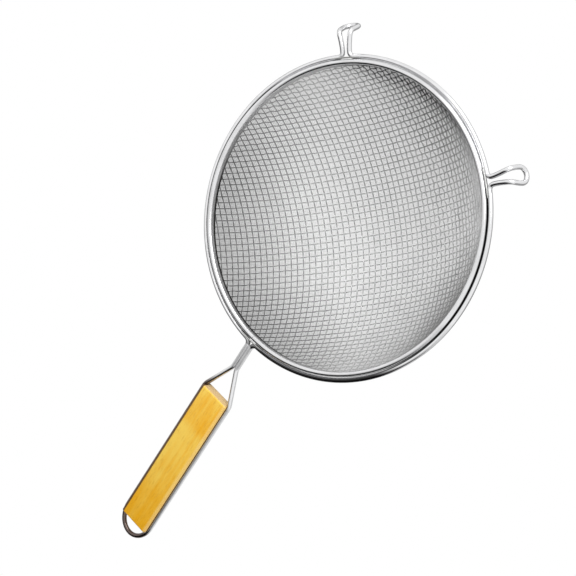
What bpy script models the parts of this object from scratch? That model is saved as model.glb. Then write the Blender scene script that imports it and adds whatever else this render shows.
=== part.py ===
"""Double sieve strainer: two nested wire-cloth bowls in a rolled rim band, carried by one bent wire.

The wire makes the ring, the two pan hooks, the neck, the grip's sides and the hanging loop. Metres, +Z up.
The bowl opens upwards, the grip points along -Y and the pan hooks lie on the +Y side.
"""

from math import asin, atan2, cos, pi, radians, sin, sqrt, tan

import bmesh
import bpy
from mathutils import Matrix, Vector

# Rim and frame wire
RIM_DIAMETER = 0.260  # over the outside of the ring wire
WIRE_DIAMETER = 0.0040
GAP = 0.0003  # between any two pieces that touch
RING_STEPS = 72
BEND_STEPS = 6  # chords in a tight bend of the wire
FLARE_STEPS = 12  # chords along a pan hook's side
LOOP_STEPS = 8  # chords in half of the hanging loop

# Rolled rim band, an inverted channel over both cloth edges
BAND_WIDTH = 0.0045
BAND_HEIGHT = 0.0070
BAND_WALL = 0.0005
BAND_RISE = 0.0039  # top of the band above the middle of the ring wire
SEAM_WIDTH = 0.0005

# Wire-cloth bowls
FINE_THICKNESS = 0.0006
COARSE_THICKNESS = 0.0020
BOWL_DEPTH = 0.078  # ring wire's middle plane down to the inside of the fine cloth
CLOTH_GRIP = 0.0050  # height of cloth held inside the band
BOWL_RINGS = 9

# Pan hooks
HOOK_ANGLE = radians(39.4)  # either side of the line opposite the grip
HOOK_LENGTH = 0.0372  # flat length of wire loop beyond the ring
HOOK_NECK = 0.0061  # between the two wires' middles at the narrow end
HOOK_WIDTH = 0.0126  # the same, across the bulb
HOOK_BASE_BEND = 0.0040
HOOK_STRAIGHT = 0.016  # flat length before the loop turns down
HOOK_BEND_RADIUS = 0.006
HOOK_TURN_DOWN = radians(68.0)
HOOK_RISE = radians(12.0)

# Neck, grip and hanging loop, measured along the sloping grip from the ring wire's middle
GRIP_DROOP = radians(6.8)
NECK_LENGTH = 0.0278
NECK_BASE_BEND = 0.0045
NECK_FORK_BEND = 0.008
GRIP_START = 0.0562
GRIP_LENGTH = 0.1410
GRIP_WIDTH = 0.0295
GRIP_THICKNESS = 0.0110
GRIP_CHAMFER = 0.0014
WIRE_STANDOFF = 0.0005  # the wire's middle lies this far outside the grip's side
FORK_SLOPE = 0.45  # sideways run of the fork for each unit along the grip
GRIP_SHOULDER_BEND = 0.012
LOOP_INSET = 0.006  # the loop starts to curve this far inside the end of the grip
LOOP_REACH = 0.0128  # wire's middle beyond the end of the grip

# Weld fillets between ring wire and band
WELD_HALF_LENGTH = 0.013
WELD_HEIGHT = 0.0017
WELD_STEPS = 6

RING_RADIUS = (RIM_DIAMETER - WIRE_DIAMETER) / 2
BAND_OUTER = RING_RADIUS - WIRE_DIAMETER / 2 - GAP
BAND_INNER = BAND_OUTER - BAND_WIDTH
HALF_WIRE_SPAN = GRIP_WIDTH / 2 + WIRE_STANDOFF
GRIP_DIRECTION = -pi / 2


# ---------------------------------------------------------------- helpers

def clear_scene():
    for obj in list(bpy.data.objects):
        bpy.data.objects.remove(obj, do_unlink=True)


def make_material(name, colour, roughness, metallic):
    material = bpy.data.materials.new(name)
    material.use_nodes = True
    shader = material.node_tree.nodes["Principled BSDF"]
    shader.inputs["Base Color"].default_value = (*colour, 1.0)
    shader.inputs["Roughness"].default_value = roughness
    shader.inputs["Metallic"].default_value = metallic
    material.diffuse_color = (*colour, 1.0)
    return material


def add_mesh_object(name, bm, material, smooth_angle=radians(40)):
    bmesh.ops.recalc_face_normals(bm, faces=bm.faces)
    mesh = bpy.data.meshes.new(name)
    bm.to_mesh(mesh)
    bm.free()
    mesh.shade_smooth()
    mesh.set_sharp_from_angle(angle=smooth_angle)
    mesh.materials.append(material)
    obj = bpy.data.objects.new(name, mesh)
    bpy.context.scene.collection.objects.link(obj)
    return obj


def arc(centre, radius, start, end, steps):
    """Points (x, y) of a flat arc, both ends included."""
    turn = (end - start) / steps
    return [
        (centre[0] + radius * cos(start + turn * i), centre[1] + radius * sin(start + turn * i))
        for i in range(steps + 1)
    ]


def spin_profile(bm, points, steps, start=0.0, sweep=2 * pi):
    """Turns a profile of (radius, z) points about the Z axis. A full turn closes on itself."""
    verts = [bm.verts.new((r * cos(start), r * sin(start), z)) for r, z in points]
    edges = [bm.edges.new(pair) for pair in zip(verts, verts[1:])]
    bmesh.ops.spin(
        bm,
        geom=verts + edges,
        cent=(0, 0, 0),
        axis=(0, 0, 1),
        angle=sweep,
        steps=steps,
        use_merge=sweep == 2 * pi,
    )


def merge_seams(bm):
    bmesh.ops.remove_doubles(bm, verts=bm.verts, dist=1e-6)


def open_edges(bm):
    return [edge for edge in bm.edges if edge.is_boundary]


# ---------------------------------------------------------------- wire-cloth bowls

def bowl_skin(offset, lip_edge):
    """Profile of a cloth skin that lies offset outside the fine cloth's inner one, from pole to lip.

    The band pinches the lips of both cloths, so each skin's lip takes its own radius, lip_edge.
    """
    lip_radius = BAND_INNER + BAND_WALL + GAP
    lip_bottom = BAND_RISE - BAND_HEIGHT - GAP
    cap_depth = BOWL_DEPTH + lip_bottom
    sphere = (lip_radius**2 + cap_depth**2) / (2 * cap_depth)
    opening = asin((lip_radius + offset) / (sphere + offset))
    cap = arc((0, sphere - BOWL_DEPTH), sphere + offset, -pi / 2, opening - pi / 2, BOWL_RINGS)
    lip = [(lip_edge, cap[-1][1]), (lip_edge, lip_bottom + CLOTH_GRIP)]
    return [(0.0, cap[0][1])] + cap[1:-1] + lip


def make_bowl(name, inner, outer, material):
    """Closed bowl between two skins, each given as (offset, lip_edge)."""
    bm = bmesh.new()
    spin_profile(bm, bowl_skin(*inner) + bowl_skin(*outer)[::-1], RING_STEPS)
    merge_seams(bm)
    return add_mesh_object(name, bm, material)


def make_bowls(fine_material, coarse_material):
    inside_band, outside_band = BAND_INNER + BAND_WALL + GAP, BAND_OUTER - BAND_WALL - GAP
    fine_outer = inside_band + FINE_THICKNESS
    coarse_offset = FINE_THICKNESS + GAP
    make_bowl("fine_sieve", (0.0, inside_band), (FINE_THICKNESS, fine_outer), fine_material)
    make_bowl(
        "coarse_sieve",
        (coarse_offset, fine_outer + GAP),
        (coarse_offset + COARSE_THICKNESS, outside_band),
        coarse_material,
    )


# ---------------------------------------------------------------- rim band

def band_profile():
    """Inverted channel with a round top, from the outer wall's foot over the top and back inside."""
    middle = (BAND_INNER + BAND_OUTER) / 2
    foot = BAND_RISE - BAND_HEIGHT

    def over(radius):
        return arc((middle, BAND_RISE - BAND_WIDTH / 2), radius, 0, pi, BEND_STEPS)

    outside = [(BAND_OUTER, foot)] + over(BAND_WIDTH / 2) + [(BAND_INNER, foot)]
    inner_half = BAND_WIDTH / 2 - BAND_WALL
    inside = [(middle + inner_half, foot)] + over(inner_half) + [(middle - inner_half, foot)]
    return outside + inside[::-1] + outside[:1]


def make_band(material):
    half_seam = SEAM_WIDTH / (BAND_INNER + BAND_OUTER)
    bm = bmesh.new()
    spin_profile(
        bm, band_profile(), RING_STEPS, GRIP_DIRECTION + half_seam, 2 * (pi - half_seam)
    )
    merge_seams(bm)
    bmesh.ops.holes_fill(bm, edges=open_edges(bm), sides=0)
    return add_mesh_object("rim_band", bm, material)


# ---------------------------------------------------------------- frame wire

def fillet(points, radius):
    """Rounds the middle corner of three flat points."""
    before, corner, after = (Vector(point) for point in points)
    arriving = (corner - before).normalized()
    leaving = (after - corner).normalized()
    turn = arriving.angle_signed(leaving)  # clockwise is positive
    tangent = corner - arriving * radius * tan(abs(turn) / 2)
    left = Vector((-arriving.y, arriving.x))
    centre = tangent - left * radius * (1 if turn > 0 else -1)
    spoke = tangent - centre
    first = atan2(spoke.y, spoke.x)
    return [points[0]] + arc(centre, radius, first, first - turn, BEND_STEPS) + [points[2]]


def base_bend(half_gap, radius):
    """Bend from the ring out into one leg of a loop, in the ring's plane with the loop along +Y.

    Returns the points as (sideways, beyond the ring) and the ring angle at which the bend starts.
    """
    side = half_gap + radius
    reach = sqrt((RING_RADIUS + radius) ** 2 - side**2)
    start_angle = asin(side / (RING_RADIUS + radius))
    first = -pi / 2 - start_angle
    points = arc((side, reach), radius, first, -pi, BEND_STEPS)
    return [(x, y - RING_RADIUS) for x, y in points], start_angle


def hook_outline():
    """Flat shape of a pan hook's right half, from the ring to the tip, as (sideways, outwards)."""
    half_neck, half_bulb = HOOK_NECK / 2, HOOK_WIDTH / 2
    bend, start_angle = base_bend(half_neck, HOOK_BASE_BEND)
    bulb_centre = HOOK_LENGTH - half_bulb
    flare_start = bend[-1][1]
    flare = []
    for step in range(1, FLARE_STEPS):
        share = step / FLARE_STEPS
        widening = (half_bulb - half_neck) * share * share * (3 - 2 * share)
        flare.append((half_neck + widening, flare_start + (bulb_centre - flare_start) * share))
    tip = arc((0, bulb_centre), half_bulb, 0, pi / 2, BEND_STEPS)
    return bend + flare + tip, start_angle


def hook_bend(outwards):
    """Radius and height of a point that lies outwards along the hook, after the hook is bent down."""
    arc_length = HOOK_BEND_RADIUS * HOOK_TURN_DOWN
    if outwards <= HOOK_STRAIGHT:
        along, down = outwards, 0.0
    else:
        turn = min(outwards - HOOK_STRAIGHT, arc_length) / HOOK_BEND_RADIUS
        rest = max(outwards - HOOK_STRAIGHT - arc_length, 0.0)
        along = HOOK_STRAIGHT + HOOK_BEND_RADIUS * sin(turn) + rest * cos(turn)
        down = HOOK_BEND_RADIUS * (1 - cos(turn)) + rest * sin(turn)
    rise = sin(HOOK_RISE) * max(along, 0.0)
    return along, rise - down


def hook_points(angle):
    """The whole hook as 3-D points, clockwise round the ring, centred on the given ring angle."""
    half, start_angle = hook_outline()
    flat = [(-x, y) for x, y in half] + [(x, y) for x, y in half[-2::-1]]
    outward = Vector((cos(angle), sin(angle), 0))
    clockwise = Vector((sin(angle), -cos(angle), 0))
    points = []
    for sideways, outwards in flat:
        along, height = hook_bend(outwards)
        points.append(clockwise * sideways + outward * (RING_RADIUS + along) + Vector((0, 0, height)))
    return points, start_angle


def on_grip(sideways, along, height=0.0):
    """A point of the sloping grip: along counts from the ring wire's middle, height from the wire's plane."""
    reach = RING_RADIUS + along * cos(GRIP_DROOP) + height * sin(GRIP_DROOP)
    return Vector((sideways, -reach, height * cos(GRIP_DROOP) - along * sin(GRIP_DROOP)))


def neck_outline():
    """Flat shape of the +X neck wire, from the ring to the middle of the fork, and the fork's corners."""
    half_neck = (WIRE_DIAMETER + GAP) / 2
    bend, start_angle = base_bend(half_neck, NECK_BASE_BEND)
    fork_end = NECK_LENGTH + (HALF_WIRE_SPAN - half_neck) / FORK_SLOPE
    fork_middle = ((half_neck + HALF_WIRE_SPAN) / 2, (NECK_LENGTH + fork_end) / 2)
    fork = fillet([bend[-1], (half_neck, NECK_LENGTH), fork_middle], NECK_FORK_BEND)
    return bend + fork[1:], start_angle, (HALF_WIRE_SPAN, fork_end)


def side_outline():
    """Flat shape of the +X wire from the middle of the fork along the grip to the loop's far point."""
    neck, _, shoulder = neck_outline()
    loop_start = GRIP_START + GRIP_LENGTH - LOOP_INSET
    loop_length = LOOP_INSET + LOOP_REACH
    side = fillet([neck[-1], shoulder, (HALF_WIRE_SPAN, loop_start)], GRIP_SHOULDER_BEND)
    quarter = arc((0, 0), 1.0, 0, pi / 2, LOOP_STEPS)[1:]
    return side + [(HALF_WIRE_SPAN * x, loop_start + loop_length * y) for x, y in quarter]


def bent_down(flat):
    """Flat handle points moved onto the grip's slope. What lies inside the ring's middle stays level."""
    return [
        on_grip(sideways, along) if along > 0 else Vector((sideways, -RING_RADIUS - along, 0))
        for sideways, along in flat
    ]


def ring_points(start, end):
    """Points of the ring wire between two ring angles, without the ends."""
    steps = max(2, round(abs(end - start) / (2 * pi) * RING_STEPS))
    flat = arc((0, 0), RING_RADIUS, start, end, steps)[1:-1]
    return [Vector((x, y, 0)) for x, y in flat]


def mirror_x(points):
    return [Vector((-p.x, p.y, p.z)) for p in points]


def frame_path():
    """The closed middle line of the frame wire: up the -X side, over the ring and down the +X side."""
    neck, neck_angle, _ = neck_outline()
    handle = bent_down(neck[:-1] + side_outline())
    left_hook, hook_half = hook_points(pi / 2 + HOOK_ANGLE)
    right_hook, _ = hook_points(pi / 2 - HOOK_ANGLE)
    left_side = ring_points(3 * pi / 2 - neck_angle, pi / 2 + HOOK_ANGLE + hook_half)
    far_side = ring_points(pi / 2 + HOOK_ANGLE - hook_half, pi / 2 - HOOK_ANGLE + hook_half)
    right_side = ring_points(pi / 2 - HOOK_ANGLE - hook_half, -pi / 2 + neck_angle)
    return (
        mirror_x(handle)[::-1]
        + left_side
        + left_hook
        + far_side
        + right_hook
        + right_side
        + handle[:-1]
    )


def make_wire_curve(name, points, radius, cyclic):
    curve = bpy.data.curves.new(name, "CURVE")
    curve.dimensions = "3D"
    curve.twist_mode = "MINIMUM"
    curve.bevel_depth = radius
    curve.bevel_resolution = 2
    curve.use_fill_caps = not cyclic
    spline = curve.splines.new("POLY")
    spline.points.add(len(points) - 1)
    for spline_point, place in zip(spline.points, points):
        spline_point.co = (*place, 1.0)
    spline.use_cyclic_u = cyclic
    spline.use_smooth = True
    return curve


def make_frame_wire(material):
    curve = make_wire_curve("frame_wire", frame_path(), WIRE_DIAMETER / 2, True)
    curve.materials.append(material)
    obj = bpy.data.objects.new("frame_wire", curve)
    bpy.context.scene.collection.objects.link(obj)
    return obj


# ---------------------------------------------------------------- wooden grip

def make_groove_cutter():
    """Mesh of the side wires and loop with their clearance, which cuts the grooves in the grip."""
    side = bent_down(side_outline())
    path = side + mirror_x(side)[-2::-1]
    curve = make_wire_curve("groove_guide", path, WIRE_DIAMETER / 2 + GAP, False)
    guide = bpy.data.objects.new("groove_guide", curve)
    bpy.context.scene.collection.objects.link(guide)
    graph = bpy.context.evaluated_depsgraph_get()
    mesh = bpy.data.meshes.new_from_object(guide.evaluated_get(graph))
    bpy.data.objects.remove(guide)
    bm = bmesh.new()
    bm.from_mesh(mesh)
    bmesh.ops.remove_doubles(bm, verts=bm.verts, dist=1e-6)
    bmesh.ops.recalc_face_normals(bm, faces=bm.faces)
    bm.to_mesh(mesh)
    bm.free()
    cutter = bpy.data.objects.new("groove_cutter", mesh)
    cutter.hide_render = True
    cutter.display_type = "WIRE"
    bpy.context.scene.collection.objects.link(cutter)
    return cutter


def make_grip(material):
    middle = on_grip(0, GRIP_START + GRIP_LENGTH / 2)
    bm = bmesh.new()
    bmesh.ops.create_cube(bm, size=1.0)
    bmesh.ops.scale(bm, verts=bm.verts, vec=(GRIP_WIDTH, GRIP_LENGTH, GRIP_THICKNESS))
    bmesh.ops.bevel(
        bm,
        geom=bm.edges[:],
        offset=GRIP_CHAMFER,
        segments=2,
        profile=0.5,
        affect="EDGES",
        material=-1,
    )
    bmesh.ops.rotate(bm, verts=bm.verts, matrix=Matrix.Rotation(GRIP_DROOP, 3, "X"))
    bmesh.ops.translate(bm, verts=bm.verts, vec=middle)
    grip = add_mesh_object("wood_grip", bm, material)
    groove = grip.modifiers.new("side grooves", "BOOLEAN")
    groove.operation = "DIFFERENCE"
    groove.solver = "EXACT"
    groove.object = make_groove_cutter()
    return grip


# ---------------------------------------------------------------- welds

def make_weld(name, angle, material):
    """Fillet in the crevice over the ring wire, against the band, centred on a ring angle."""
    clear = WIRE_DIAMETER / 2 + GAP
    wall = BAND_OUTER + GAP
    low = sqrt(clear**2 - (RING_RADIUS - wall) ** 2) + GAP
    outer = wall + WELD_HEIGHT
    over_wire = sqrt(max(clear**2 - (RING_RADIUS - outer) ** 2, 0.0)) + GAP
    profile = [(wall, low), (outer, over_wire), (wall, low + WELD_HEIGHT), (wall, low)]
    half_angle = WELD_HALF_LENGTH / RING_RADIUS
    bm = bmesh.new()
    spin_profile(bm, profile, WELD_STEPS, angle - half_angle, 2 * half_angle)
    merge_seams(bm)
    bmesh.ops.holes_fill(bm, edges=open_edges(bm), sides=0)
    return add_mesh_object(name, bm, material)


# ---------------------------------------------------------------- the whole strainer

def stand_on_ground():
    """Puts the lowest point at Z = 0 and the middle of the whole outline on the Z axis."""
    bpy.context.view_layer.update()
    graph = bpy.context.evaluated_depsgraph_get()
    pieces = [obj for obj in bpy.context.scene.objects if not obj.hide_render]
    corners = []
    for obj in pieces:
        mesh = obj.evaluated_get(graph).to_mesh()
        corners += [obj.matrix_world @ vertex.co for vertex in mesh.vertices]
    low = Vector([min(c[axis] for c in corners) for axis in range(3)])
    high = Vector([max(c[axis] for c in corners) for axis in range(3)])
    shift = Vector((-(low.x + high.x) / 2, -(low.y + high.y) / 2, -low.z))
    for obj in bpy.context.scene.objects:
        obj.location += shift


def main():
    clear_scene()
    fine_steel = make_material("fine_cloth_steel", (0.62, 0.62, 0.63), 0.30, 1.0)
    coarse_steel = make_material("coarse_cloth_steel", (0.45, 0.45, 0.46), 0.35, 1.0)
    band_steel = make_material("band_steel", (0.80, 0.80, 0.81), 0.18, 1.0)
    wire_steel = make_material("bright_wire", (0.74, 0.74, 0.75), 0.12, 1.0)
    weld_steel = make_material("weld_metal", (0.60, 0.60, 0.60), 0.40, 1.0)
    varnished_wood = make_material("varnished_wood", (0.74, 0.44, 0.10), 0.38, 0.0)

    make_bowls(fine_steel, coarse_steel)
    make_band(band_steel)
    make_frame_wire(wire_steel)
    make_grip(varnished_wood)
    make_weld("neck_weld", GRIP_DIRECTION, weld_steel)
    make_weld("left_hook_weld", pi / 2 + HOOK_ANGLE, weld_steel)
    make_weld("right_hook_weld", pi / 2 - HOOK_ANGLE, weld_steel)
    stand_on_ground()


main()
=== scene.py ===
"""Looks of the double sieve strainer: woven wire bowls, bent wire, rolled rim band and varnished grip."""

from math import acos, asin, atan2, cos, pi, radians, sin, sqrt, tan

import bmesh
import bpy
from mathutils import Matrix, Vector


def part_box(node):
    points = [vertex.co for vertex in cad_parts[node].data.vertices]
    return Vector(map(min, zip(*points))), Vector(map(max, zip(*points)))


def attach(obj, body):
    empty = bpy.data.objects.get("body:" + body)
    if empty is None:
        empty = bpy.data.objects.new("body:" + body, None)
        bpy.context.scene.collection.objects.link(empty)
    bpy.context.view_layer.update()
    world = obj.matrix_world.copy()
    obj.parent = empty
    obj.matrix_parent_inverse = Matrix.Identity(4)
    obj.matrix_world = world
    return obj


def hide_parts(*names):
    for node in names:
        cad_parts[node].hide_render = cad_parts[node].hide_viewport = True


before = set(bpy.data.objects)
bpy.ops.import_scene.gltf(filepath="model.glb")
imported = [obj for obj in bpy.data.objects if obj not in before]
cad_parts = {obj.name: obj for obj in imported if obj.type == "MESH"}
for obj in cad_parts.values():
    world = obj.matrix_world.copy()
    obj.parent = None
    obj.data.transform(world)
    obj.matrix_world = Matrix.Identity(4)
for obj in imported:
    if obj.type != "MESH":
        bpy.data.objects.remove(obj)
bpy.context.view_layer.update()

# ---------------------------------------------------------------- sizes, metres

RIM_DIAMETER = 0.260
WIRE_DIAMETER = 0.0040
GAP = 0.0003
BAND_WIDTH = 0.0045
BAND_HEIGHT = 0.0070
BAND_WALL = 0.0005
BAND_RISE = 0.0039
SEAM_WIDTH = 0.0005

RING_RADIUS = (RIM_DIAMETER - WIRE_DIAMETER) / 2
BAND_OUTER = RING_RADIUS - WIRE_DIAMETER / 2 - GAP
BAND_INNER = BAND_OUTER - BAND_WIDTH

HOOK_ANGLE = radians(39.4)
HOOK_LENGTH = 0.0372
HOOK_NECK = 0.0061
HOOK_WIDTH = 0.0126
HOOK_BASE_BEND = 0.0040
HOOK_STRAIGHT = 0.016
HOOK_BEND_RADIUS = 0.006
HOOK_TURN_DOWN = radians(68.0)
HOOK_RISE = radians(12.0)

GRIP_DROOP = radians(6.8)
NECK_LENGTH = 0.0278
NECK_BASE_BEND = 0.0045
NECK_FORK_BEND = 0.008
GRIP_START = 0.0562
GRIP_LENGTH = 0.1410
GRIP_WIDTH = 0.0295
GRIP_THICKNESS = 0.0110
GRIP_ROUNDING = 0.0016
WIRE_STANDOFF = 0.0005
FORK_SLOPE = 0.45
GRIP_SHOULDER_BEND = 0.012
LOOP_INSET = 0.006
LOOP_REACH = 0.0128
HALF_WIRE_SPAN = GRIP_WIDTH / 2 + WIRE_STANDOFF
GRIP_DIRECTION = -pi / 2

BOWL_DEPTH = 0.078
CLOTH_LIP = 0.0024  # the cut ends of the cloth's wires lie this far below the ring wire's middle
FINE_WIRE = 0.00030
FINE_PITCH = 0.00127
COARSE_WIRE = 0.00085
COARSE_PITCH = 0.00508
CLOTH_TURN = radians(48.5)
WEAVE_LIFT = 0.51  # how far a wire waves to either side, in wire diameters

RING_STEPS = 300
BAND_STEPS = 16
BEND_STEPS = 14
FLARE_STEPS = 26
LOOP_STEPS = 20

WELD_LENGTH = 0.026
WELD_DIAMETER = 0.0014
WELD_OUTSET = 0.0011  # its middle line outside the band
WELD_RISE = 0.0006  # and above the top of the ring wire
WELD_STEPS = 24

MERGE_DISTANCE = 1e-6
SHORTEST_CHORD = 1e-5

# Places painted darker than the rest: painted shade and reflection, in the crevice also stain. Each pair
# says where a mask begins and where it is full.
SKEW_RANGE = (0.10, 0.44)  # in squared lip radii
CRIMP_RANGE = (-0.00075, -0.00030)  # from the middle of the coarse cloth, outwards
CREVICE_INSIDE = (-0.0006, -0.0001)  # from the gap between the ring wire and the band, outwards
CREVICE_OUTSIDE = (0.0013, 0.0007)
# Painted shadow and stain in the crevice, fading out on the side where the ring wire has a painted dark
# reflection.
CREVICE_PALE_SIDE = (-0.26, 0.966)
CREVICE_PALE_END = (0.64, 0.48)  # in ring radii
CREVICE_DARK_END = (0.92, 0.75)  # in ring radii
# Where the ring wire's outer side has a painted dark reflection.
DARK_RING_SIDE = (0.5, -0.866)
DARK_RING_RANGE = (0.80, 0.92)  # in ring radii
# Painted shade at the foot of the band's inner wall.
FOOT_SIDE = (-0.42, -0.906)
FOOT_RANGE = (0.45, 0.75)  # in ring radii
SHADOW_SIDE = (-0.174, 0.985)
SHADOW_RANGE = (0.80, 0.94)  # in lip radii
SHADOW_REACH = (0.84, 0.96)  # in lip radii
SHADED_WALL_RANGE = (0.30, 0.98)  # in lip radii
SHADED_WALL_AMOUNT = 0.66

GRIP_DEEPENING = [
    (0.0, 0.52), (0.08, 0.57), (0.22, 0.64), (0.30, 0.43), (0.64, 0.44), (0.80, 0.58), (1.0, 0.66)
]
GRIP_PALE = (0.90, 0.60, 0.085)
GRIP_DEEP = (0.84, 0.41, 0.003)
GRIP_PORE = (0.48, 0.20, 0.002)
# Painted highlight on the grip's long rounded edges.
GRIP_LIT_EDGE = (0.93, 0.68, 0.26)
GRIP_END_GRAIN = (0.66, 0.45, 0.20)
# Painted shade along the grip's -X edge.
GRIP_SHADED_EDGE = (0.10, 0.045, 0.010)
# Painted shadow in the grooves where the wires lie.
GRIP_GROOVE_SHADE = (0.09, 0.03, 0.006)

# Studio
FLOOR_SIZE = 3.0
FLOOR_DROP = 0.0002
FLOOR_REACH = (-0.10, 0.32)  # Y of the two ends of the floor's glow
# Pairs of a share of that reach and the strength of the glow there.
FLOOR_GLOW = [(0.0, 0.80), (0.20, 0.65), (0.42, 0.36), (0.80, 0.38), (1.0, 0.95)]
FLOOR_SHADE = 0.10  # how much darker the painted disc is than the floor
DEEP_SHADE = 0.30  # and how much more at the side away from the light
DEEP_SHADE_RANGE = (0.10, 1.0)  # in shade radii
DEEP_SIDE = (-0.60, -0.80)
SHADE_RADIUS = 0.136
SHADE_SOFTNESS = 0.009
BRIGHT_SIDE = (0.0, 1.0, 0.0)
# Pairs of a share of the way from the opposite side to BRIGHT_SIDE and the brightness there.
WORLD_LEVELS = [(0.13, 0.01), (0.18, 0.06), (0.26, 0.65), (0.38, 1.0)]

CAMERA_RIGHT = Vector((0.649043, 0.565384, -0.509003))
CAMERA_UP = Vector((-0.631128, 0.773748, 0.054686))
CAMERA_BACK = Vector((0.424759, 0.285753, 0.859026))
CAMERA_PLACE = Vector((0.66997, 0.37892, 1.35972))  # from the rim's centre

band_low, band_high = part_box("rim_band")
RIM_CENTRE = Vector(
    ((band_low.x + band_high.x) / 2, (band_low.y + band_high.y) / 2, band_high.z - BAND_RISE)
)

# The cloth's bowl is part of a sphere, from its lowest point up to the foot of the band.
LIP_RADIUS = BAND_INNER + BAND_WALL + GAP
CAP_DEPTH = BOWL_DEPTH + BAND_RISE - BAND_HEIGHT - GAP
BOWL_RADIUS = (LIP_RADIUS**2 + CAP_DEPTH**2) / (2 * CAP_DEPTH)
BOWL_MIDDLE = RIM_CENTRE + Vector((0, 0, BOWL_RADIUS - BOWL_DEPTH))
FINE_SHELL = 0.0003  # middle of the fine cloth outside the bowl's inner face
COARSE_SHELL = 0.0019


# ---------------------------------------------------------------- shared material groups

def new_group(name, inputs, outputs):
    """Node group with sockets given as (name, type, default); returns it with its two end nodes."""
    group = bpy.data.node_groups.new(name, "ShaderNodeTree")
    for socket_name, kind, default in inputs:
        socket = group.interface.new_socket(socket_name, in_out="INPUT", socket_type=kind)
        if default is not None:
            socket.default_value = default
    for socket_name, kind in outputs:
        group.interface.new_socket(socket_name, in_out="OUTPUT", socket_type=kind)
    return group, group.nodes.new("NodeGroupInput"), group.nodes.new("NodeGroupOutput")


def math_node(tree, operation, a, b=None, clamp=False):
    node = tree.nodes.new("ShaderNodeMath")
    node.operation = operation
    node.use_clamp = clamp
    for socket, value in zip(node.inputs, (a, b)):
        if value is None:
            continue
        if isinstance(value, (int, float)):
            socket.default_value = value
        else:
            tree.links.new(value, socket)
    return node.outputs[0]


def mix_colour(tree, factor, first, second):
    node = tree.nodes.new("ShaderNodeMix")
    node.data_type = "RGBA"
    for socket, value in ((node.inputs[0], factor), (node.inputs[6], first), (node.inputs[7], second)):
        if isinstance(value, (int, float)):
            socket.default_value = value
        elif isinstance(value, tuple):
            socket.default_value = (*value, 1.0)
        else:
            tree.links.new(value, socket)
    return node.outputs[2]


def ramp(tree, value, stops):
    """Smooth ramp from (place, grey) stops."""
    node = tree.nodes.new("ShaderNodeValToRGB")
    node.color_ramp.interpolation = "EASE"
    while len(node.color_ramp.elements) < len(stops):
        node.color_ramp.elements.new(0.5)
    for element, (place, grey) in zip(node.color_ramp.elements, stops):
        element.position = place
        element.color = (grey, grey, grey, 1.0)
    tree.links.new(value, node.inputs[0])
    return node.outputs[0]


def noise(tree, vector, scale, detail, roughness):
    node = tree.nodes.new("ShaderNodeTexNoise")
    node.inputs["Scale"].default_value = scale
    node.inputs["Detail"].default_value = detail
    node.inputs["Roughness"].default_value = roughness
    tree.links.new(vector, node.inputs["Vector"])
    return node.outputs["Fac"]


def ramp_between(tree, value, low, high):
    """0 below low, 1 above high; or the other way round when low is the larger."""
    node = tree.nodes.new("ShaderNodeMapRange")
    node.interpolation_type = "SMOOTHSTEP"
    tree.links.new(value, node.inputs["Value"])
    start, end, from_value, to_value = (low, high, 0.0, 1.0) if low < high else (high, low, 1.0, 0.0)
    values = {"From Min": start, "From Max": end, "To Min": from_value, "To Max": to_value}
    for socket, number in values.items():
        node.inputs[socket].default_value = number
    return node.outputs["Result"]


def add(tree, first, *others):
    for other in others:
        first = math_node(tree, "ADD", first, other)
    return first


def multiply(tree, first, *others):
    for other in others:
        first = math_node(tree, "MULTIPLY", first, other)
    return first


def scaled(pair, size):
    return pair[0] * size, pair[1] * size


def local_axes(tree, place, centre, turn=(0, 0, 0)):
    """X, Y and Z of a point measured from centre, after it is turned about centre."""
    moved = tree.nodes.new("ShaderNodeVectorMath")
    moved.operation = "SUBTRACT"
    moved.inputs[1].default_value = centre
    tree.links.new(place, moved.inputs[0])
    mapping = tree.nodes.new("ShaderNodeMapping")
    mapping.inputs["Rotation"].default_value = turn
    tree.links.new(moved.outputs[0], mapping.inputs["Vector"])
    split = tree.nodes.new("ShaderNodeSeparateXYZ")
    tree.links.new(mapping.outputs["Vector"], split.inputs[0])
    return split.outputs["X"], split.outputs["Y"], split.outputs["Z"]


def distance(tree, *parts):
    squares = add(tree, *(multiply(tree, part, part) for part in parts))
    return math_node(tree, "SQRT", squares)


def reach_towards(tree, x, y, direction):
    """How far a point lies from the centre in a level direction."""
    return add(tree, multiply(tree, x, direction[0]), multiply(tree, y, direction[1]))


# ---------------------------------------------------------------- places painted darker

def sheared_cloth_shade(tree, place):
    """Mask of painted shade on the four quarters in which the drawn cloth's meshes are skewed and its
    wires crowd.
    """
    x, y, _ = local_axes(tree, place, BOWL_MIDDLE, (0, 0, -CLOTH_TURN))
    skew = math_node(tree, "ABSOLUTE", multiply(tree, x, y))
    return ramp_between(tree, skew, *scaled(SKEW_RANGE, LIP_RADIUS**2))


def crimp_hollow_shade(tree, place):
    """Mask of the stretches where a coarse wire dips under the wires it crosses, painted darker there as
    shade.
    """
    x, y, z = local_axes(tree, place, BOWL_MIDDLE)
    level = math_node(tree, "SUBTRACT", distance(tree, x, y, z), BOWL_RADIUS + COARSE_SHELL)
    return ramp_between(tree, level, *CRIMP_RANGE)


def shaded_wall(tree, place):
    """Mask of the bowl's wall away from the lamp. It stands in for shade that the lights don't give."""
    x, y, _ = local_axes(tree, place, RIM_CENTRE)
    aside = reach_towards(tree, x, y, DEEP_SIDE)
    return multiply(
        tree, ramp_between(tree, aside, *scaled(SHADED_WALL_RANGE, LIP_RADIUS)), SHADED_WALL_AMOUNT
    )


def band_shadow(tree, place):
    """Mask of the cloth just inside the band on the lamp's side. It stands in for the band's shadow."""
    x, y, _ = local_axes(tree, place, RIM_CENTRE)
    aside = reach_towards(tree, x, y, SHADOW_SIDE)
    return multiply(
        tree,
        ramp_between(tree, distance(tree, x, y), *scaled(SHADOW_REACH, LIP_RADIUS)),
        ramp_between(tree, aside, *scaled(SHADOW_RANGE, LIP_RADIUS)),
    )


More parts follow.
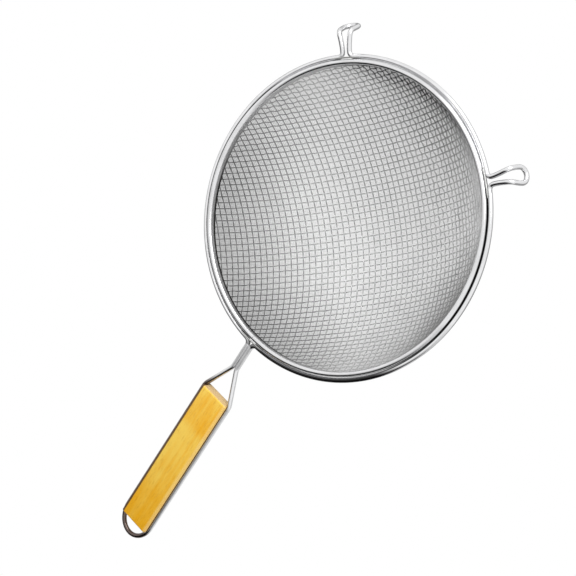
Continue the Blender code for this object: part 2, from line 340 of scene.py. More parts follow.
def band_crevice(tree, place):
    """Mask of the crevice between the ring wire and the band. It stands in for shadow and stain."""
    x, y, _ = local_axes(tree, place, RIM_CENTRE)
    away = math_node(tree, "SUBTRACT", distance(tree, x, y), BAND_OUTER + GAP / 2)
    to_pale_side = reach_towards(tree, x, y, CREVICE_PALE_SIDE)
    to_dark_side = reach_towards(tree, x, y, DARK_RING_SIDE)
    return multiply(
        tree,
        ramp_between(tree, away, *CREVICE_INSIDE),
        ramp_between(tree, away, *CREVICE_OUTSIDE),
        ramp_between(tree, to_pale_side, *scaled(CREVICE_PALE_END, RING_RADIUS)),
        ramp_between(tree, to_dark_side, *scaled(CREVICE_DARK_END, RING_RADIUS)),
    )


def band_foot_shade(tree, place):
    """Mask of the dark line of painted shade at the foot of the band's inner wall, on the side towards the
    handle.
    """
    x, y, z = local_axes(tree, place, RIM_CENTRE)
    away = math_node(tree, "SUBTRACT", distance(tree, x, y), BAND_INNER + BAND_WALL)
    aside = reach_towards(tree, x, y, FOOT_SIDE)
    return multiply(
        tree,
        ramp_between(tree, away, 0.0004, 0.0),
        ramp_between(tree, z, 0.0002, -0.0016),
        ramp_between(tree, aside, *scaled(FOOT_RANGE, RING_RADIUS)),
    )


def ring_by_handle(tree, place):
    """Mask of the ring wire's outer side, right of the neck. It stands in for a dark reflection."""
    x, y, _ = local_axes(tree, place, RIM_CENTRE)
    away = math_node(tree, "SUBTRACT", distance(tree, x, y), RING_RADIUS)
    aside = reach_towards(tree, x, y, DARK_RING_SIDE)
    return multiply(
        tree,
        ramp_between(tree, away, -0.0015, -0.0006),
        ramp_between(tree, away, 0.0040, 0.0025),
        ramp_between(tree, aside, *scaled(DARK_RING_RANGE, RING_RADIUS)),
    )


def grip_wire_reflection_shade(tree, place):
    """Mask of painted dark reflection and shade on the side wires: along the grip, on the -X wire and on
    the loop.
    """
    x, y, _ = local_axes(tree, place, RIM_CENTRE)
    near_end = -RING_RADIUS - GRIP_START
    far_end = near_end - GRIP_LENGTH
    inwards = math_node(tree, "SUBTRACT", HALF_WIRE_SPAN, math_node(tree, "ABSOLUTE", x))
    along_grip = multiply(
        tree,
        ramp_between(tree, inwards, 0.0001, 0.0009),
        ramp_between(tree, inwards, 0.006, 0.003),
        ramp_between(tree, y, near_end + 0.004, near_end - 0.004),
        ramp_between(tree, y, far_end, far_end + 0.004),
    )
    dark_side = multiply(
        tree,
        ramp_between(tree, x, -0.2 * HALF_WIRE_SPAN, -0.9 * HALF_WIRE_SPAN),
        ramp_between(tree, y, near_end + 0.020, near_end),
        0.9,
    )
    loop = multiply(tree, ramp_between(tree, y, far_end + 0.006, far_end - 0.002), 0.9)
    either = math_node(tree, "MAXIMUM", along_grip, dark_side)
    return math_node(tree, "MAXIMUM", either, loop)


# ---------------------------------------------------------------- materials

def make_metal_group():
    """Handled, plated metal: slight clouding of colour and roughness, with fine specks."""
    group, start, end = new_group(
        "handled_metal",
        [
            ("Vector", "NodeSocketVector", None),
            ("Colour", "NodeSocketColor", (0.8, 0.8, 0.8, 1)),
            ("Dull Colour", "NodeSocketColor", (0.5, 0.5, 0.5, 1)),
            ("Dullness", "NodeSocketFloat", 0.3),
            ("Roughness", "NodeSocketFloat", 0.2),
            ("Roughness Spread", "NodeSocketFloat", 0.1),
        ],
        [("Colour", "NodeSocketColor"), ("Roughness", "NodeSocketFloat"), ("Height", "NodeSocketFloat")],
    )
    place = start.outputs["Vector"]
    clouds = noise(group, place, 55.0, 4.0, 0.6)
    specks = noise(group, place, 900.0, 2.0, 0.6)
    patches = ramp(group, clouds, [(0.38, 0.0), (0.72, 1.0)])
    amount = multiply(group, patches, start.outputs["Dullness"])
    colour = mix_colour(group, amount, start.outputs["Colour"], start.outputs["Dull Colour"])
    spread = multiply(group, specks, start.outputs["Roughness Spread"])
    cloudy = multiply(group, patches, start.outputs["Roughness Spread"])
    rough = add(group, start.outputs["Roughness"], spread)
    rough = math_node(group, "ADD", rough, cloudy, clamp=True)
    group.links.new(colour, end.inputs["Colour"])
    group.links.new(rough, end.inputs["Roughness"])
    group.links.new(specks, end.inputs["Height"])
    return group


def make_grain_group():
    """Straight wood grain that runs along one axis of the given vector, with pores and darker streaks."""
    group, start, end = new_group(
        "straight_grain",
        [
            ("Vector", "NodeSocketVector", None),
            ("Pale", "NodeSocketColor", (0.7, 0.5, 0.2, 1)),
            ("Deep", "NodeSocketColor", (0.5, 0.3, 0.05, 1)),
            ("Pore", "NodeSocketColor", (0.3, 0.15, 0.03, 1)),
            ("Deepening", "NodeSocketFloat", 0.0),
        ],
        [("Colour", "NodeSocketColor"), ("Roughness", "NodeSocketFloat"), ("Height", "NodeSocketFloat")],
    )
    stretch = group.nodes.new("ShaderNodeMapping")
    stretch.inputs["Scale"].default_value = (1.0, 0.09, 1.0)
    group.links.new(start.outputs["Vector"], stretch.inputs["Vector"])
    along = stretch.outputs["Vector"]
    streaks = noise(group, along, 260.0, 5.0, 0.55)
    broad = noise(group, along, 70.0, 3.0, 0.5)
    pores = noise(group, along, 1500.0, 2.0, 0.5)
    patches = noise(group, start.outputs["Vector"], 42.0, 3.0, 0.5)
    body = add(
        group,
        multiply(group, broad, 0.55),
        multiply(group, streaks, 0.35),
        multiply(group, patches, 0.25),
        start.outputs["Deepening"],
    )
    share = ramp(group, body, [(0.42, 0.0), (0.80, 1.0)])
    colour = mix_colour(group, share, start.outputs["Pale"], start.outputs["Deep"])
    pore_mask = ramp(group, pores, [(0.54, 0.0), (0.74, 1.0)])
    pore_share = multiply(group, pore_mask, 0.42)
    colour = mix_colour(group, pore_share, colour, start.outputs["Pore"])
    rough = add(group, 0.30, multiply(group, streaks, 0.22))
    height = math_node(group, "SUBTRACT", streaks, multiply(group, pore_mask, 0.8))
    group.links.new(colour, end.inputs["Colour"])
    group.links.new(rough, end.inputs["Roughness"])
    group.links.new(height, end.inputs["Height"])
    return group


METAL_GROUP = make_metal_group()
GRAIN_GROUP = make_grain_group()


def new_material(name):
    material = bpy.data.materials.new(name)
    material.use_nodes = True
    return material, material.node_tree, material.node_tree.nodes["Principled BSDF"]


def place_group(tree, group, vector, values):
    node = tree.nodes.new("ShaderNodeGroup")
    node.node_tree = group
    tree.links.new(vector, node.inputs["Vector"])
    for name, value in values.items():
        node.inputs[name].default_value = (*value, 1.0) if isinstance(value, tuple) else value
    return node


def add_bump(tree, shader, height, strength, depth):
    bump = tree.nodes.new("ShaderNodeBump")
    bump.inputs["Strength"].default_value = strength
    bump.inputs["Distance"].default_value = depth
    tree.links.new(height, bump.inputs["Height"])
    tree.links.new(bump.outputs["Normal"], shader.inputs["Normal"])


def metal_material(name, colour, dull_colour, dullness, roughness, spread, bump=0.04, shades_and_stains=()):
    material, tree, shader = new_material(name)
    place = tree.nodes.new("ShaderNodeTexCoord").outputs["Object"]
    node = place_group(
        tree,
        METAL_GROUP,
        place,
        {
            "Colour": colour,
            "Dull Colour": dull_colour,
            "Dullness": dullness,
            "Roughness": roughness,
            "Roughness Spread": spread,
        },
    )
    shader.inputs["Metallic"].default_value = 1.0
    surface = node.outputs["Colour"]
    # Each mask paints a darker colour: painted shade and reflection, and in the crevice also stain.
    for mask, darker_colour in shades_and_stains:
        surface = mix_colour(tree, mask(tree, place), surface, darker_colour)
    tree.links.new(surface, shader.inputs["Base Color"])
    tree.links.new(node.outputs["Roughness"], shader.inputs["Roughness"])
    add_bump(tree, shader, node.outputs["Height"], bump, 0.0002)
    material.diffuse_color = (*colour, 1.0)
    return material


def wood_material():
    """Varnished wood: broad patches along the grip and pale end grain.

    Painted highlight on the long rounded edges, painted shade on the -X edge and dark lines of painted
    shadow where the wires lie.
    """
    material, tree, shader = new_material("varnished_golden_wood")
    place = tree.nodes.new("ShaderNodeTexCoord").outputs["Object"]
    x, y, z = local_axes(tree, place, RIM_CENTRE + on_grip(0, GRIP_START), (-GRIP_DROOP, 0, 0))
    along = math_node(tree, "DIVIDE", multiply(tree, y, -1.0), GRIP_LENGTH)
    side = math_node(tree, "ABSOLUTE", x)
    half_width = GRIP_WIDTH / 2
    join = tree.nodes.new("ShaderNodeCombineXYZ")
    for socket, value in zip(join.inputs, (x, y, z)):
        tree.links.new(value, socket)
    grain = place_group(
        tree, GRAIN_GROUP, join.outputs[0], {"Pale": GRIP_PALE, "Deep": GRIP_DEEP, "Pore": GRIP_PORE}
    )
    patches = ramp(tree, along, GRIP_DEEPENING)
    tree.links.new(math_node(tree, "SUBTRACT", patches, 0.5), grain.inputs["Deepening"])

    # Painted highlight on both long rounded edges.
    lit_edge = multiply(tree, ramp_between(tree, side, half_width - 0.0030, half_width - 0.0012), 0.45)
    end_grain = ramp_between(tree, along, 0.004, 0.0008)
    # Painted shade along the -X edge.
    shaded_edge = ramp_between(tree, x, 0.0030 - half_width, 0.0020 - half_width)
    height = math_node(tree, "ABSOLUTE", z)
    # Painted shadow in the grooves where the wires lie.
    groove = multiply(
        tree,
        ramp_between(tree, side, half_width - 0.0010, half_width - 0.0001),
        ramp_between(tree, height, 0.85 * WIRE_DIAMETER, 0.60 * WIRE_DIAMETER),
    )
    colour = mix_colour(tree, lit_edge, grain.outputs["Colour"], GRIP_LIT_EDGE)
    colour = mix_colour(tree, end_grain, colour, GRIP_END_GRAIN)
    colour = mix_colour(tree, shaded_edge, colour, GRIP_SHADED_EDGE)
    colour = mix_colour(tree, groove, colour, GRIP_GROOVE_SHADE)
    tree.links.new(colour, shader.inputs["Base Color"])
    tree.links.new(grain.outputs["Roughness"], shader.inputs["Roughness"])
    shader.inputs["Coat Weight"].default_value = 0.10
    shader.inputs["Coat Roughness"].default_value = 0.2
    add_bump(tree, shader, grain.outputs["Height"], 0.12, 0.0003)
    material.diffuse_color = (0.80, 0.48, 0.06, 1.0)
    return material


# ---------------------------------------------------------------- helpers

def finish_mesh(name, bm, material, replaced, smooth_angle=40.0, recalculate=True):
    if recalculate:
        bmesh.ops.recalc_face_normals(bm, faces=bm.faces)
    mesh = bpy.data.meshes.new(name)
    bm.to_mesh(mesh)
    bm.free()
    mesh.shade_smooth()
    mesh.set_sharp_from_angle(angle=radians(smooth_angle))
    mesh.materials.append(material)
    obj = bpy.data.objects.new(name, mesh)
    bpy.context.scene.collection.objects.link(obj)
    return settle(obj, replaced)


def settle(obj, replaced):
    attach(obj, "root")
    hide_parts(replaced)
    return obj


def wire_object(name, paths, diameter, sides_step, material, cyclic=False, radii=None):
    """Curve object of round wires, one spline for each path of points."""
    curve = bpy.data.curves.new(name, "CURVE")
    curve.dimensions = "3D"
    curve.twist_mode = "MINIMUM"
    curve.bevel_depth = diameter / 2
    curve.bevel_resolution = sides_step
    curve.use_fill_caps = not cyclic
    for path in paths:
        spline = curve.splines.new("POLY")
        spline.points.add(len(path) - 1)
        flat = [value for point in path for value in (*point, 1.0)]
        spline.points.foreach_set("co", flat)
        if radii:
            spline.points.foreach_set("radius", radii)
        spline.use_cyclic_u = cyclic
        spline.use_smooth = True
    curve.materials.append(material)
    obj = bpy.data.objects.new(name, curve)
    bpy.context.scene.collection.objects.link(obj)
    return obj


def arc(centre, radius, start, end, steps):
    turn = (end - start) / steps
    return [
        (centre[0] + radius * cos(start + turn * i), centre[1] + radius * sin(start + turn * i))
        for i in range(steps + 1)
    ]


def spin_profile(bm, points, steps, start, sweep):
    """Turns a profile of (radius, height) points about the rim's axis."""
    verts = [
        bm.verts.new(RIM_CENTRE + Vector((r * cos(start), r * sin(start), z))) for r, z in points
    ]
    edges = [bm.edges.new(pair) for pair in zip(verts, verts[1:])]
    bmesh.ops.spin(
        bm, geom=verts + edges, cent=RIM_CENTRE, axis=(0, 0, 1), angle=sweep, steps=steps
    )


# ---------------------------------------------------------------- woven cloth

def draped_net(radius, pitch, edge_angle):
    """Crossings of a square cloth pressed into a bowl without stretching its wires, one quarter of it.

    Every crossing lies one pitch from its neighbours along both wires. The bowl's lowest point is crossing
    (0, 0), at (0, 0, -radius); the result maps (i, j) to a point, and leaves out what lies past the edge.
    """
    step = 2 * asin(pitch / (2 * radius))
    past_edge = -radius * cos(edge_angle + 2 * step)
    count = int((edge_angle + 2 * step) / step) + 1
    net = {}
    for i in range(count + 1):
        net[i, 0] = Vector((radius * sin(i * step), 0, -radius * cos(i * step)))
        net[0, i] = Vector((0, radius * sin(i * step), -radius * cos(i * step)))
    reach = radius * radius - pitch * pitch / 2
    for i in range(1, count + 1):
        for j in range(1, count + 1):
            if (i - 1, j) not in net or (i, j - 1) not in net:
                break
            a, b = net[i - 1, j], net[i, j - 1]
            share = reach / (radius * radius + a.dot(b))
            middle = (a + b) * share
            across = a.cross(b)
            rest = radius * radius - middle.length_squared
            if rest <= 0 or across.length_squared == 0:
                break
            side = across * sqrt(rest / across.length_squared)
            behind = net[i - 1, j - 1]
            point = max((middle + side, middle - side), key=lambda p: (p - behind).length_squared)
            if point.z > past_edge:
                break
            net[i, j] = point
    return net


def crossing(net, i, j):
    point = net.get((abs(i), abs(j)))
    if point is None:
        return None
    return Vector((point.x if i >= 0 else -point.x, point.y if j >= 0 else -point.y, point.z))


def woven_wire(net, number, along_i, lift, chords, edge_z):
    """One wire of the cloth, waving over and under the wires it crosses, cut off at the height edge_z."""
    count = max(i for i, _ in net)
    knots = []
    for step in range(-count, count + 1):
        i, j = (step, number) if along_i else (number, step)
        point = crossing(net, i, j)
        if point is not None:
            over = 1 if (i + j) % 2 == 0 else -1
            knots.append((point, over if along_i else -over))
    path = []
    for (a, over), (b, _) in zip(knots, knots[1:]):
        radius = a.length
        for k in range(chords):
            share = k / chords
            level = radius + lift * over * cos(pi * share)
            path.append(a.lerp(b, share).normalized() * level)
    last, over = knots[-1]
    path.append(last.normalized() * (last.length + lift * over))
    return cut_at_edge(path, edge_z)


def cut_at_edge(path, edge_z):
    inside = [index for index, point in enumerate(path) if point.z <= edge_z]
    if len(inside) < 3:
        return None
    first, last = inside[0], inside[-1]
    kept = path[first:last + 1]
    for index, at_start in ((first - 1, True), (last + 1, False)):
        if 0 <= index < len(path):
            near, far = (kept[0], path[index]) if at_start else (kept[-1], path[index])
            share = (edge_z - near.z) / (far.z - near.z)
            end = near.lerp(far, share)
            if (end - near).length > SHORTEST_CHORD:
                kept = [end] + kept if at_start else kept + [end]
    return kept


def weave(prefix, shell, pitch, wire, chords, sides_step, parts, material, replaced):
    """Both layers of wires of one cloth, each split into a few pieces."""
    radius = BOWL_RADIUS + shell
    edge_z = RIM_CENTRE.z - CLOTH_LIP - BOWL_MIDDLE.z
    net = draped_net(radius, pitch, acos(-edge_z / radius))
    count = max(i for i, _ in net)
    place = Matrix.Translation(BOWL_MIDDLE) @ Matrix.Rotation(CLOTH_TURN, 4, "Z")
    lift = wire * WEAVE_LIFT
    for layer, along_i in (("warp", True), ("weft", False)):
        wires = []
        for number in range(-count, count + 1):
            path = woven_wire(net, number, along_i, lift, chords, edge_z)
            if path:
                wires.append([place @ point for point in path])
        share = -(-len(wires) // parts)
        for part in range(parts):
            chosen = wires[part * share:(part + 1) * share]
            name = f"{prefix}_{layer}_{part + 1}" if parts > 1 else f"{prefix}_{layer}"
            obj = wire_object(name, chosen, wire, sides_step, material)
            settle(obj, replaced)


# ---------------------------------------------------------------- rim band

def make_rim_band(material):
    middle = (BAND_INNER + BAND_OUTER) / 2
    foot = BAND_RISE - BAND_HEIGHT
    top = BAND_RISE - BAND_WIDTH / 2

    def over(radius):
        return arc((middle, top), radius, 0, pi, BAND_STEPS)

    outside = [(BAND_OUTER, foot)] + over(BAND_WIDTH / 2) + [(BAND_INNER, foot)]
    inner_half = BAND_WIDTH / 2 - BAND_WALL
    inside = [(middle + inner_half, foot)] + over(inner_half) + [(middle - inner_half, foot)]
    profile = outside + inside[::-1] + outside[:1]
    half_seam = SEAM_WIDTH / (BAND_INNER + BAND_OUTER)
    bm = bmesh.new()
    spin_profile(bm, profile, RING_STEPS, GRIP_DIRECTION + half_seam, 2 * (pi - half_seam))
    bmesh.ops.remove_doubles(bm, verts=bm.verts, dist=MERGE_DISTANCE)
    bmesh.ops.holes_fill(bm, edges=[edge for edge in bm.edges if edge.is_boundary], sides=0)
    return finish_mesh("rolled_rim_band", bm, material, "rim_band")


# ---------------------------------------------------------------- frame wire

def fillet(points, radius):
    """Rounds the middle corner of three flat points."""
    before, corner, after = (Vector(point) for point in points)
    arriving = (corner - before).normalized()
    leaving = (after - corner).normalized()
    turn = arriving.angle_signed(leaving)
    tangent = corner - arriving * radius * tan(abs(turn) / 2)
    left = Vector((-arriving.y, arriving.x))
    centre = tangent - left * radius * (1 if turn > 0 else -1)
    spoke = tangent - centre
    first = atan2(spoke.y, spoke.x)
    return [points[0]] + arc(centre, radius, first, first - turn, BEND_STEPS) + [points[2]]


def base_bend(half_gap, radius):
    """Bend from the ring out into one leg of a loop, with the ring angle at which it starts."""
    side = half_gap + radius
    reach = sqrt((RING_RADIUS + radius) ** 2 - side**2)
    start_angle = asin(side / (RING_RADIUS + radius))
    points = arc((side, reach), radius, -pi / 2 - start_angle, -pi, BEND_STEPS)
    return [(x, y - RING_RADIUS) for x, y in points], start_angle


def hook_outline():
    """Flat shape of a pan hook's right half, from the ring to the tip, as (sideways, outwards)."""
    half_neck, half_bulb = HOOK_NECK / 2, HOOK_WIDTH / 2
    bend, start_angle = base_bend(half_neck, HOOK_BASE_BEND)
    bulb_centre = HOOK_LENGTH - half_bulb
    flare_start = bend[-1][1]
    flare = []
    for step in range(1, FLARE_STEPS):
        share = step / FLARE_STEPS
        widening = (half_bulb - half_neck) * share * share * (3 - 2 * share)
        flare.append((half_neck + widening, flare_start + (bulb_centre - flare_start) * share))
    return bend + flare + arc((0, bulb_centre), half_bulb, 0, pi / 2, BEND_STEPS), start_angle


def hook_bend(outwards):
    """Radius and height of a point that lies outwards along the hook, after the hook is bent down."""
    arc_length = HOOK_BEND_RADIUS * HOOK_TURN_DOWN
    along, down = outwards, 0.0
    if outwards > HOOK_STRAIGHT:
        turn = min(outwards - HOOK_STRAIGHT, arc_length) / HOOK_BEND_RADIUS
        rest = max(outwards - HOOK_STRAIGHT - arc_length, 0.0)
        along = HOOK_STRAIGHT + HOOK_BEND_RADIUS * sin(turn) + rest * cos(turn)
        down = HOOK_BEND_RADIUS * (1 - cos(turn)) + rest * sin(turn)
    return along, sin(HOOK_RISE) * max(along, 0.0) - down


def hook_points(angle):
    half, start_angle = hook_outline()
    flat = [(-x, y) for x, y in half] + [(x, y) for x, y in half[-2::-1]]
    outward = Vector((cos(angle), sin(angle), 0))
    clockwise = Vector((sin(angle), -cos(angle), 0))
    points = []
    for sideways, outwards in flat:
        along, height = hook_bend(outwards)
        points.append(clockwise * sideways + outward * (RING_RADIUS + along) + Vector((0, 0, height)))
    return points, start_angle


def on_grip(sideways, along):
    """A point in the middle plane of the sloping grip, from the rim's centre."""
    reach = RING_RADIUS + along * cos(GRIP_DROOP)
    return Vector((sideways, -reach, -along * sin(GRIP_DROOP)))


def neck_outline():
    half_neck = (WIRE_DIAMETER + GAP) / 2
    bend, start_angle = base_bend(half_neck, NECK_BASE_BEND)
    fork_end = NECK_LENGTH + (HALF_WIRE_SPAN - half_neck) / FORK_SLOPE
    fork_middle = ((half_neck + HALF_WIRE_SPAN) / 2, (NECK_LENGTH + fork_end) / 2)
    fork = fillet([bend[-1], (half_neck, NECK_LENGTH), fork_middle], NECK_FORK_BEND)
    return bend + fork[1:], start_angle, (HALF_WIRE_SPAN, fork_end)


def side_outline():
    neck, _, shoulder = neck_outline()
    loop_start = GRIP_START + GRIP_LENGTH - LOOP_INSET
    loop_length = LOOP_INSET + LOOP_REACH
    side = fillet([neck[-1], shoulder, (HALF_WIRE_SPAN, loop_start)], GRIP_SHOULDER_BEND)
    quarter = arc((0, 0), 1.0, 0, pi / 2, LOOP_STEPS)[1:]
    return side + [(HALF_WIRE_SPAN * x, loop_start + loop_length * y) for x, y in quarter]


def bent_down(flat):
    return [
        on_grip(sideways, along) if along > 0 else Vector((sideways, -RING_RADIUS - along, 0))
        for sideways, along in flat
    ]


def ring_points(start, end):
    steps = max(2, round(abs(end - start) / (2 * pi) * RING_STEPS))
    return [Vector((x, y, 0)) for x, y in arc((0, 0), RING_RADIUS, start, end, steps)[1:-1]]


def mirror_x(points):
    return [Vector((-p.x, p.y, p.z)) for p in points]


def frame_path():
    """The closed middle line of the frame wire: up the -X side, over the ring and down the +X side."""
    neck, neck_angle, _ = neck_outline()
    handle = bent_down(neck[:-1] + side_outline())
    left_hook, hook_half = hook_points(pi / 2 + HOOK_ANGLE)
    right_hook, _ = hook_points(pi / 2 - HOOK_ANGLE)
    points = (
        mirror_x(handle)[::-1]
        + ring_points(3 * pi / 2 - neck_angle, pi / 2 + HOOK_ANGLE + hook_half)
        + left_hook
        + ring_points(pi / 2 + HOOK_ANGLE - hook_half, pi / 2 - HOOK_ANGLE + hook_half)
        + right_hook
        + ring_points(pi / 2 - HOOK_ANGLE - hook_half, -pi / 2 + neck_angle)
        + handle[:-1]
    )
    return [RIM_CENTRE + point for point in points]


def make_frame_wire(material):
    obj = wire_object("bent_frame_wire", [frame_path()], WIRE_DIAMETER, 6, material, cyclic=True)
    return settle(obj, "frame_wire")


# ---------------------------------------------------------------- wooden grip

def make_grip(material):
    side = [RIM_CENTRE + point for point in bent_down(side_outline())]
    mirrored = [Vector((2 * RIM_CENTRE.x - p.x, p.y, p.z)) for p in side]
    guide = wire_object(
        "groove_guide", [side + mirrored[-2::-1]], WIRE_DIAMETER + 2 * GAP, 6, material
    )
    graph = bpy.context.evaluated_depsgraph_get()
    groove = bmesh.new()
    groove.from_mesh(bpy.data.meshes.new_from_object(guide.evaluated_get(graph)))
    bmesh.ops.remove_doubles(groove, verts=groove.verts, dist=MERGE_DISTANCE)
    bmesh.ops.recalc_face_normals(groove, faces=groove.faces)
    groove_mesh = bpy.data.meshes.new("groove_cutter")
    groove.to_mesh(groove_mesh)
    groove.free()
    cutter = bpy.data.objects.new("groove_cutter", groove_mesh)
    bpy.context.scene.collection.objects.link(cutter)
    bpy.data.objects.remove(guide)

    bm = bmesh.new()
    bmesh.ops.create_cube(bm, size=1.0)
    bmesh.ops.scale(bm, verts=bm.verts, vec=(GRIP_WIDTH, GRIP_LENGTH, GRIP_THICKNESS))
    bmesh.ops.bevel(
        bm, geom=bm.edges[:], offset=GRIP_ROUNDING, segments=5, profile=0.5, affect="EDGES", material=-1
    )
    bmesh.ops.rotate(bm, verts=bm.verts, matrix=Matrix.Rotation(GRIP_DROOP, 3, "X"))
    bmesh.ops.translate(
        bm, verts=bm.verts, vec=RIM_CENTRE + on_grip(0, GRIP_START + GRIP_LENGTH / 2)
    )
    blank_mesh = bpy.data.meshes.new("grip_blank")
    bm.to_mesh(blank_mesh)
    bm.free()
    blank = bpy.data.objects.new("grip_blank", blank_mesh)
    bpy.context.scene.collection.objects.link(blank)
    cut = blank.modifiers.new("side grooves", "BOOLEAN")
    cut.operation = "DIFFERENCE"
    cut.solver = "EXACT"
    cut.object = cutter
    graph = bpy.context.evaluated_depsgraph_get()
    bm = bmesh.new()
    bm.from_mesh(bpy.data.meshes.new_from_object(blank.evaluated_get(graph)))
    bpy.data.objects.remove(blank)
    bpy.data.objects.remove(cutter)
    return finish_mesh(
        "grooved_wood_grip", bm, material, "wood_grip", smooth_angle=35.0, recalculate=False
    )


# ---------------------------------------------------------------- welds

def make_weld(name, angle, replaced, material):
    """Small bead of weld metal over the crevice between the ring wire and the band."""
    half_turn = WELD_LENGTH / 2 / RING_RADIUS
    flat = arc((0, 0), BAND_OUTER + WELD_OUTSET, angle - half_turn, angle + half_turn, WELD_STEPS)
    height = WIRE_DIAMETER / 2 + WELD_RISE
    path = [RIM_CENTRE + Vector((x, y, height)) for x, y in flat]
    swell = [0.25 + 0.75 * sin(pi * k / WELD_STEPS) ** 0.5 for k in range(WELD_STEPS + 1)]
    obj = wire_object(name, [path], WELD_DIAMETER, 3, material, radii=swell)
    return settle(obj, replaced)


# ---------------------------------------------------------------- studio

def make_floor():
    """White floor with a painted shade disc, which lies behind the bowl as seen from CAMERA_PLACE.

    Only the camera sees that. The metal is lit by FLOOR_GLOW instead, which is uneven along Y.
    """
    material = bpy.data.materials.new("white_floor")
    material.use_nodes = True
    tree = material.node_tree
    tree.nodes.clear()
    out = tree.nodes.new("ShaderNodeOutputMaterial")
    glow = tree.nodes.new("ShaderNodeEmission")
    seen = tree.nodes.new("ShaderNodeLightPath").outputs["Is Camera Ray"]
    place = tree.nodes.new("ShaderNodeTexCoord").outputs["Object"]

    shade_centre = RIM_CENTRE.xy - CAMERA_PLACE.xy / CAMERA_PLACE.z * RIM_CENTRE.z
    x, y, _ = local_axes(tree, place, (*shade_centre, 0))
    shade = ramp_between(tree, distance(tree, x, y), SHADE_RADIUS, SHADE_RADIUS - SHADE_SOFTNESS)
    aside = reach_towards(tree, x, y, DEEP_SIDE)
    deeper = multiply(
        tree, ramp_between(tree, aside, *scaled(DEEP_SHADE_RANGE, SHADE_RADIUS)), DEEP_SHADE
    )
    amount = multiply(tree, shade, add(tree, deeper, FLOOR_SHADE))
    shown = multiply(tree, seen, math_node(tree, "SUBTRACT", 1.0, amount))

    _, along, _ = local_axes(tree, place, (0, 0, 0))
    near_end, far_end = FLOOR_REACH
    share = math_node(tree, "DIVIDE", math_node(tree, "SUBTRACT", along, near_end), far_end - near_end)
    unseen = math_node(tree, "SUBTRACT", 1.0, seen)
    thrown = multiply(tree, ramp(tree, share, FLOOR_GLOW), unseen)
    tree.links.new(add(tree, shown, thrown), glow.inputs["Strength"])
    tree.links.new(glow.outputs[0], out.inputs["Surface"])

    bm = bmesh.new()
    bmesh.ops.create_grid(bm, x_segments=1, y_segments=1, size=FLOOR_SIZE)
    mesh = bpy.data.meshes.new("floor")
    bm.to_mesh(mesh)
    bm.free()
    mesh.materials.append(material)
    floor = bpy.data.objects.new("floor", mesh)
    floor.location = (0, 0, -FLOOR_DROP)
    bpy.context.scene.collection.objects.link(floor)


def make_world():
    """Soft surroundings, bright all round but dark beyond the end of the handle."""
    world = bpy.data.worlds.new("studio")
    bpy.context.scene.world = world
    world.use_nodes = True
    tree = world.node_tree
    background = tree.nodes["Background"]
    place = tree.nodes.new("ShaderNodeTexCoord").outputs["Generated"]
    facing = tree.nodes.new("ShaderNodeVectorMath")
    facing.operation = "DOT_PRODUCT"
    facing.inputs[1].default_value = BRIGHT_SIDE
    tree.links.new(place, facing.inputs[0])
    share = add(tree, multiply(tree, facing.outputs["Value"], 0.5), 0.5)
    tree.links.new(ramp(tree, share, WORLD_LEVELS), background.inputs["Color"])
    background.inputs["Strength"].default_value = 1.0


def add_area_light(name, place, target, size, power):
    light = bpy.data.lights.new(name, "AREA")
    light.shape = "RECTANGLE"
    light.size, light.size_y = size
    light.energy = power
    obj = bpy.data.objects.new(name, light)
    obj.location = place
    obj.rotation_euler = (Vector(target) - Vector(place)).to_track_quat("-Z", "Y").to_euler()
    bpy.context.scene.collection.objects.link(obj)


def make_camera():
    camera = bpy.data.cameras.new("camera")
    camera.sensor_width = 36.0
    camera.lens = 123.75
    camera.clip_end = 20.0
    camera.dof.use_dof = False
    obj = bpy.data.objects.new("camera", camera)
    turn = Matrix((CAMERA_RIGHT, CAMERA_UP, CAMERA_BACK)).transposed().to_4x4()
    obj.matrix_world = Matrix.Translation(RIM_CENTRE + CAMERA_PLACE) @ turn
    bpy.context.scene.collection.objects.link(obj)
    bpy.context.scene.camera = obj


# ---------------------------------------------------------------- build

make_camera()

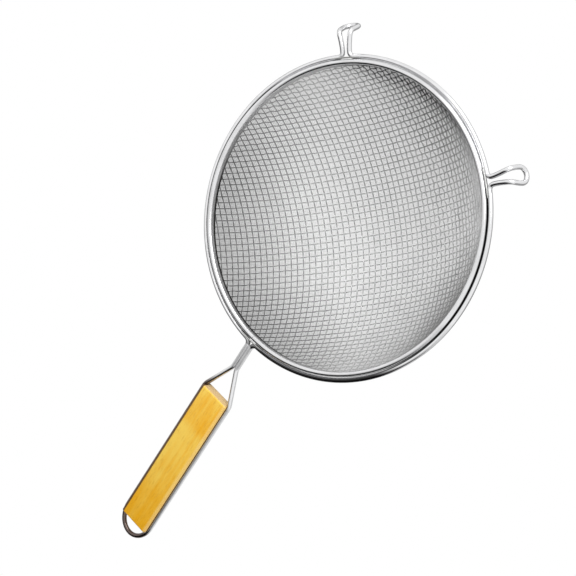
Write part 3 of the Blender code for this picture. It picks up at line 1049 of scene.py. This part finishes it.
fine_steel = metal_material(
    "fine_cloth_steel",
    colour=(0.86, 0.86, 0.86),
    dull_colour=(0.60, 0.60, 0.60),
    dullness=0.5,
    roughness=0.38,
    spread=0.14,
    # Painted shade on the cloth's skewed quarters, on the wall away from the lamp and in the band's
    # shadow.
    shades_and_stains=[
        (sheared_cloth_shade, (0.46, 0.46, 0.46)),
        (shaded_wall, (0.22, 0.22, 0.22)),
        (band_shadow, (0.08, 0.08, 0.08)),
    ],
)
coarse_steel = metal_material(
    "coarse_cloth_steel",
    colour=(0.86, 0.86, 0.86),
    dull_colour=(0.60, 0.60, 0.60),
    dullness=0.4,
    roughness=0.15,
    spread=0.14,
    # Painted shade in the crimp hollows, on the skewed quarters, on the wall away from the lamp and in the
    # band's shadow.
    shades_and_stains=[
        (crimp_hollow_shade, (0.30, 0.30, 0.30)),
        (sheared_cloth_shade, (0.24, 0.24, 0.24)),
        (shaded_wall, (0.06, 0.06, 0.06)),
        (band_shadow, (0.04, 0.04, 0.04)),
    ],
)
band_steel = metal_material(
    "rolled_band_steel",
    colour=(0.80, 0.80, 0.81),
    dull_colour=(0.62, 0.62, 0.62),
    dullness=0.4,
    roughness=0.10,
    spread=0.10,
    # Painted shadow and stain in the crevice, and painted shade at the band's foot.
    shades_and_stains=[(band_crevice, (0.03, 0.03, 0.03)), (band_foot_shade, (0.02, 0.018, 0.016))],
)
wire_steel = metal_material(
    "bright_drawn_wire",
    colour=(0.84, 0.84, 0.85),
    dull_colour=(0.62, 0.62, 0.62),
    dullness=0.4,
    roughness=0.07,
    spread=0.10,
    # Painted shadow and stain in the crevice, a painted dark reflection right of the neck, and painted
    # reflection and shade on the grip's wires and loop.
    shades_and_stains=[
        (band_crevice, (0.03, 0.03, 0.03)),
        (ring_by_handle, (0.035, 0.035, 0.035)),
        (grip_wire_reflection_shade, (0.06, 0.028, 0.014)),
    ],
)
weld_steel = metal_material(
    "weld_metal",
    colour=(0.50, 0.50, 0.49),
    dull_colour=(0.28, 0.28, 0.27),
    dullness=0.7,
    roughness=0.30,
    spread=0.2,
    bump=0.25,
)
golden_wood = wood_material()

weave(
    "fine_cloth", FINE_SHELL, FINE_PITCH, FINE_WIRE, chords=1, sides_step=0, parts=2,
    material=fine_steel, replaced="fine_sieve",
)
weave(
    "coarse_cloth", COARSE_SHELL, COARSE_PITCH, COARSE_WIRE, chords=6, sides_step=1, parts=1,
    material=coarse_steel, replaced="coarse_sieve",
)
make_rim_band(band_steel)
make_frame_wire(wire_steel)
make_grip(golden_wood)
make_weld("neck_weld_bead", GRIP_DIRECTION, "neck_weld", weld_steel)
make_weld("left_hook_weld_bead", pi / 2 + HOOK_ANGLE, "left_hook_weld", weld_steel)
make_weld("right_hook_weld_bead", pi / 2 - HOOK_ANGLE, "right_hook_weld", weld_steel)

make_floor()
make_world()
add_area_light("back_softbox", (0.2, 1.3, 1.0), (0, 0.05, 0.05), (1.4, 0.9), 16.0)
bpy.context.scene.view_settings.view_transform = "Standard"
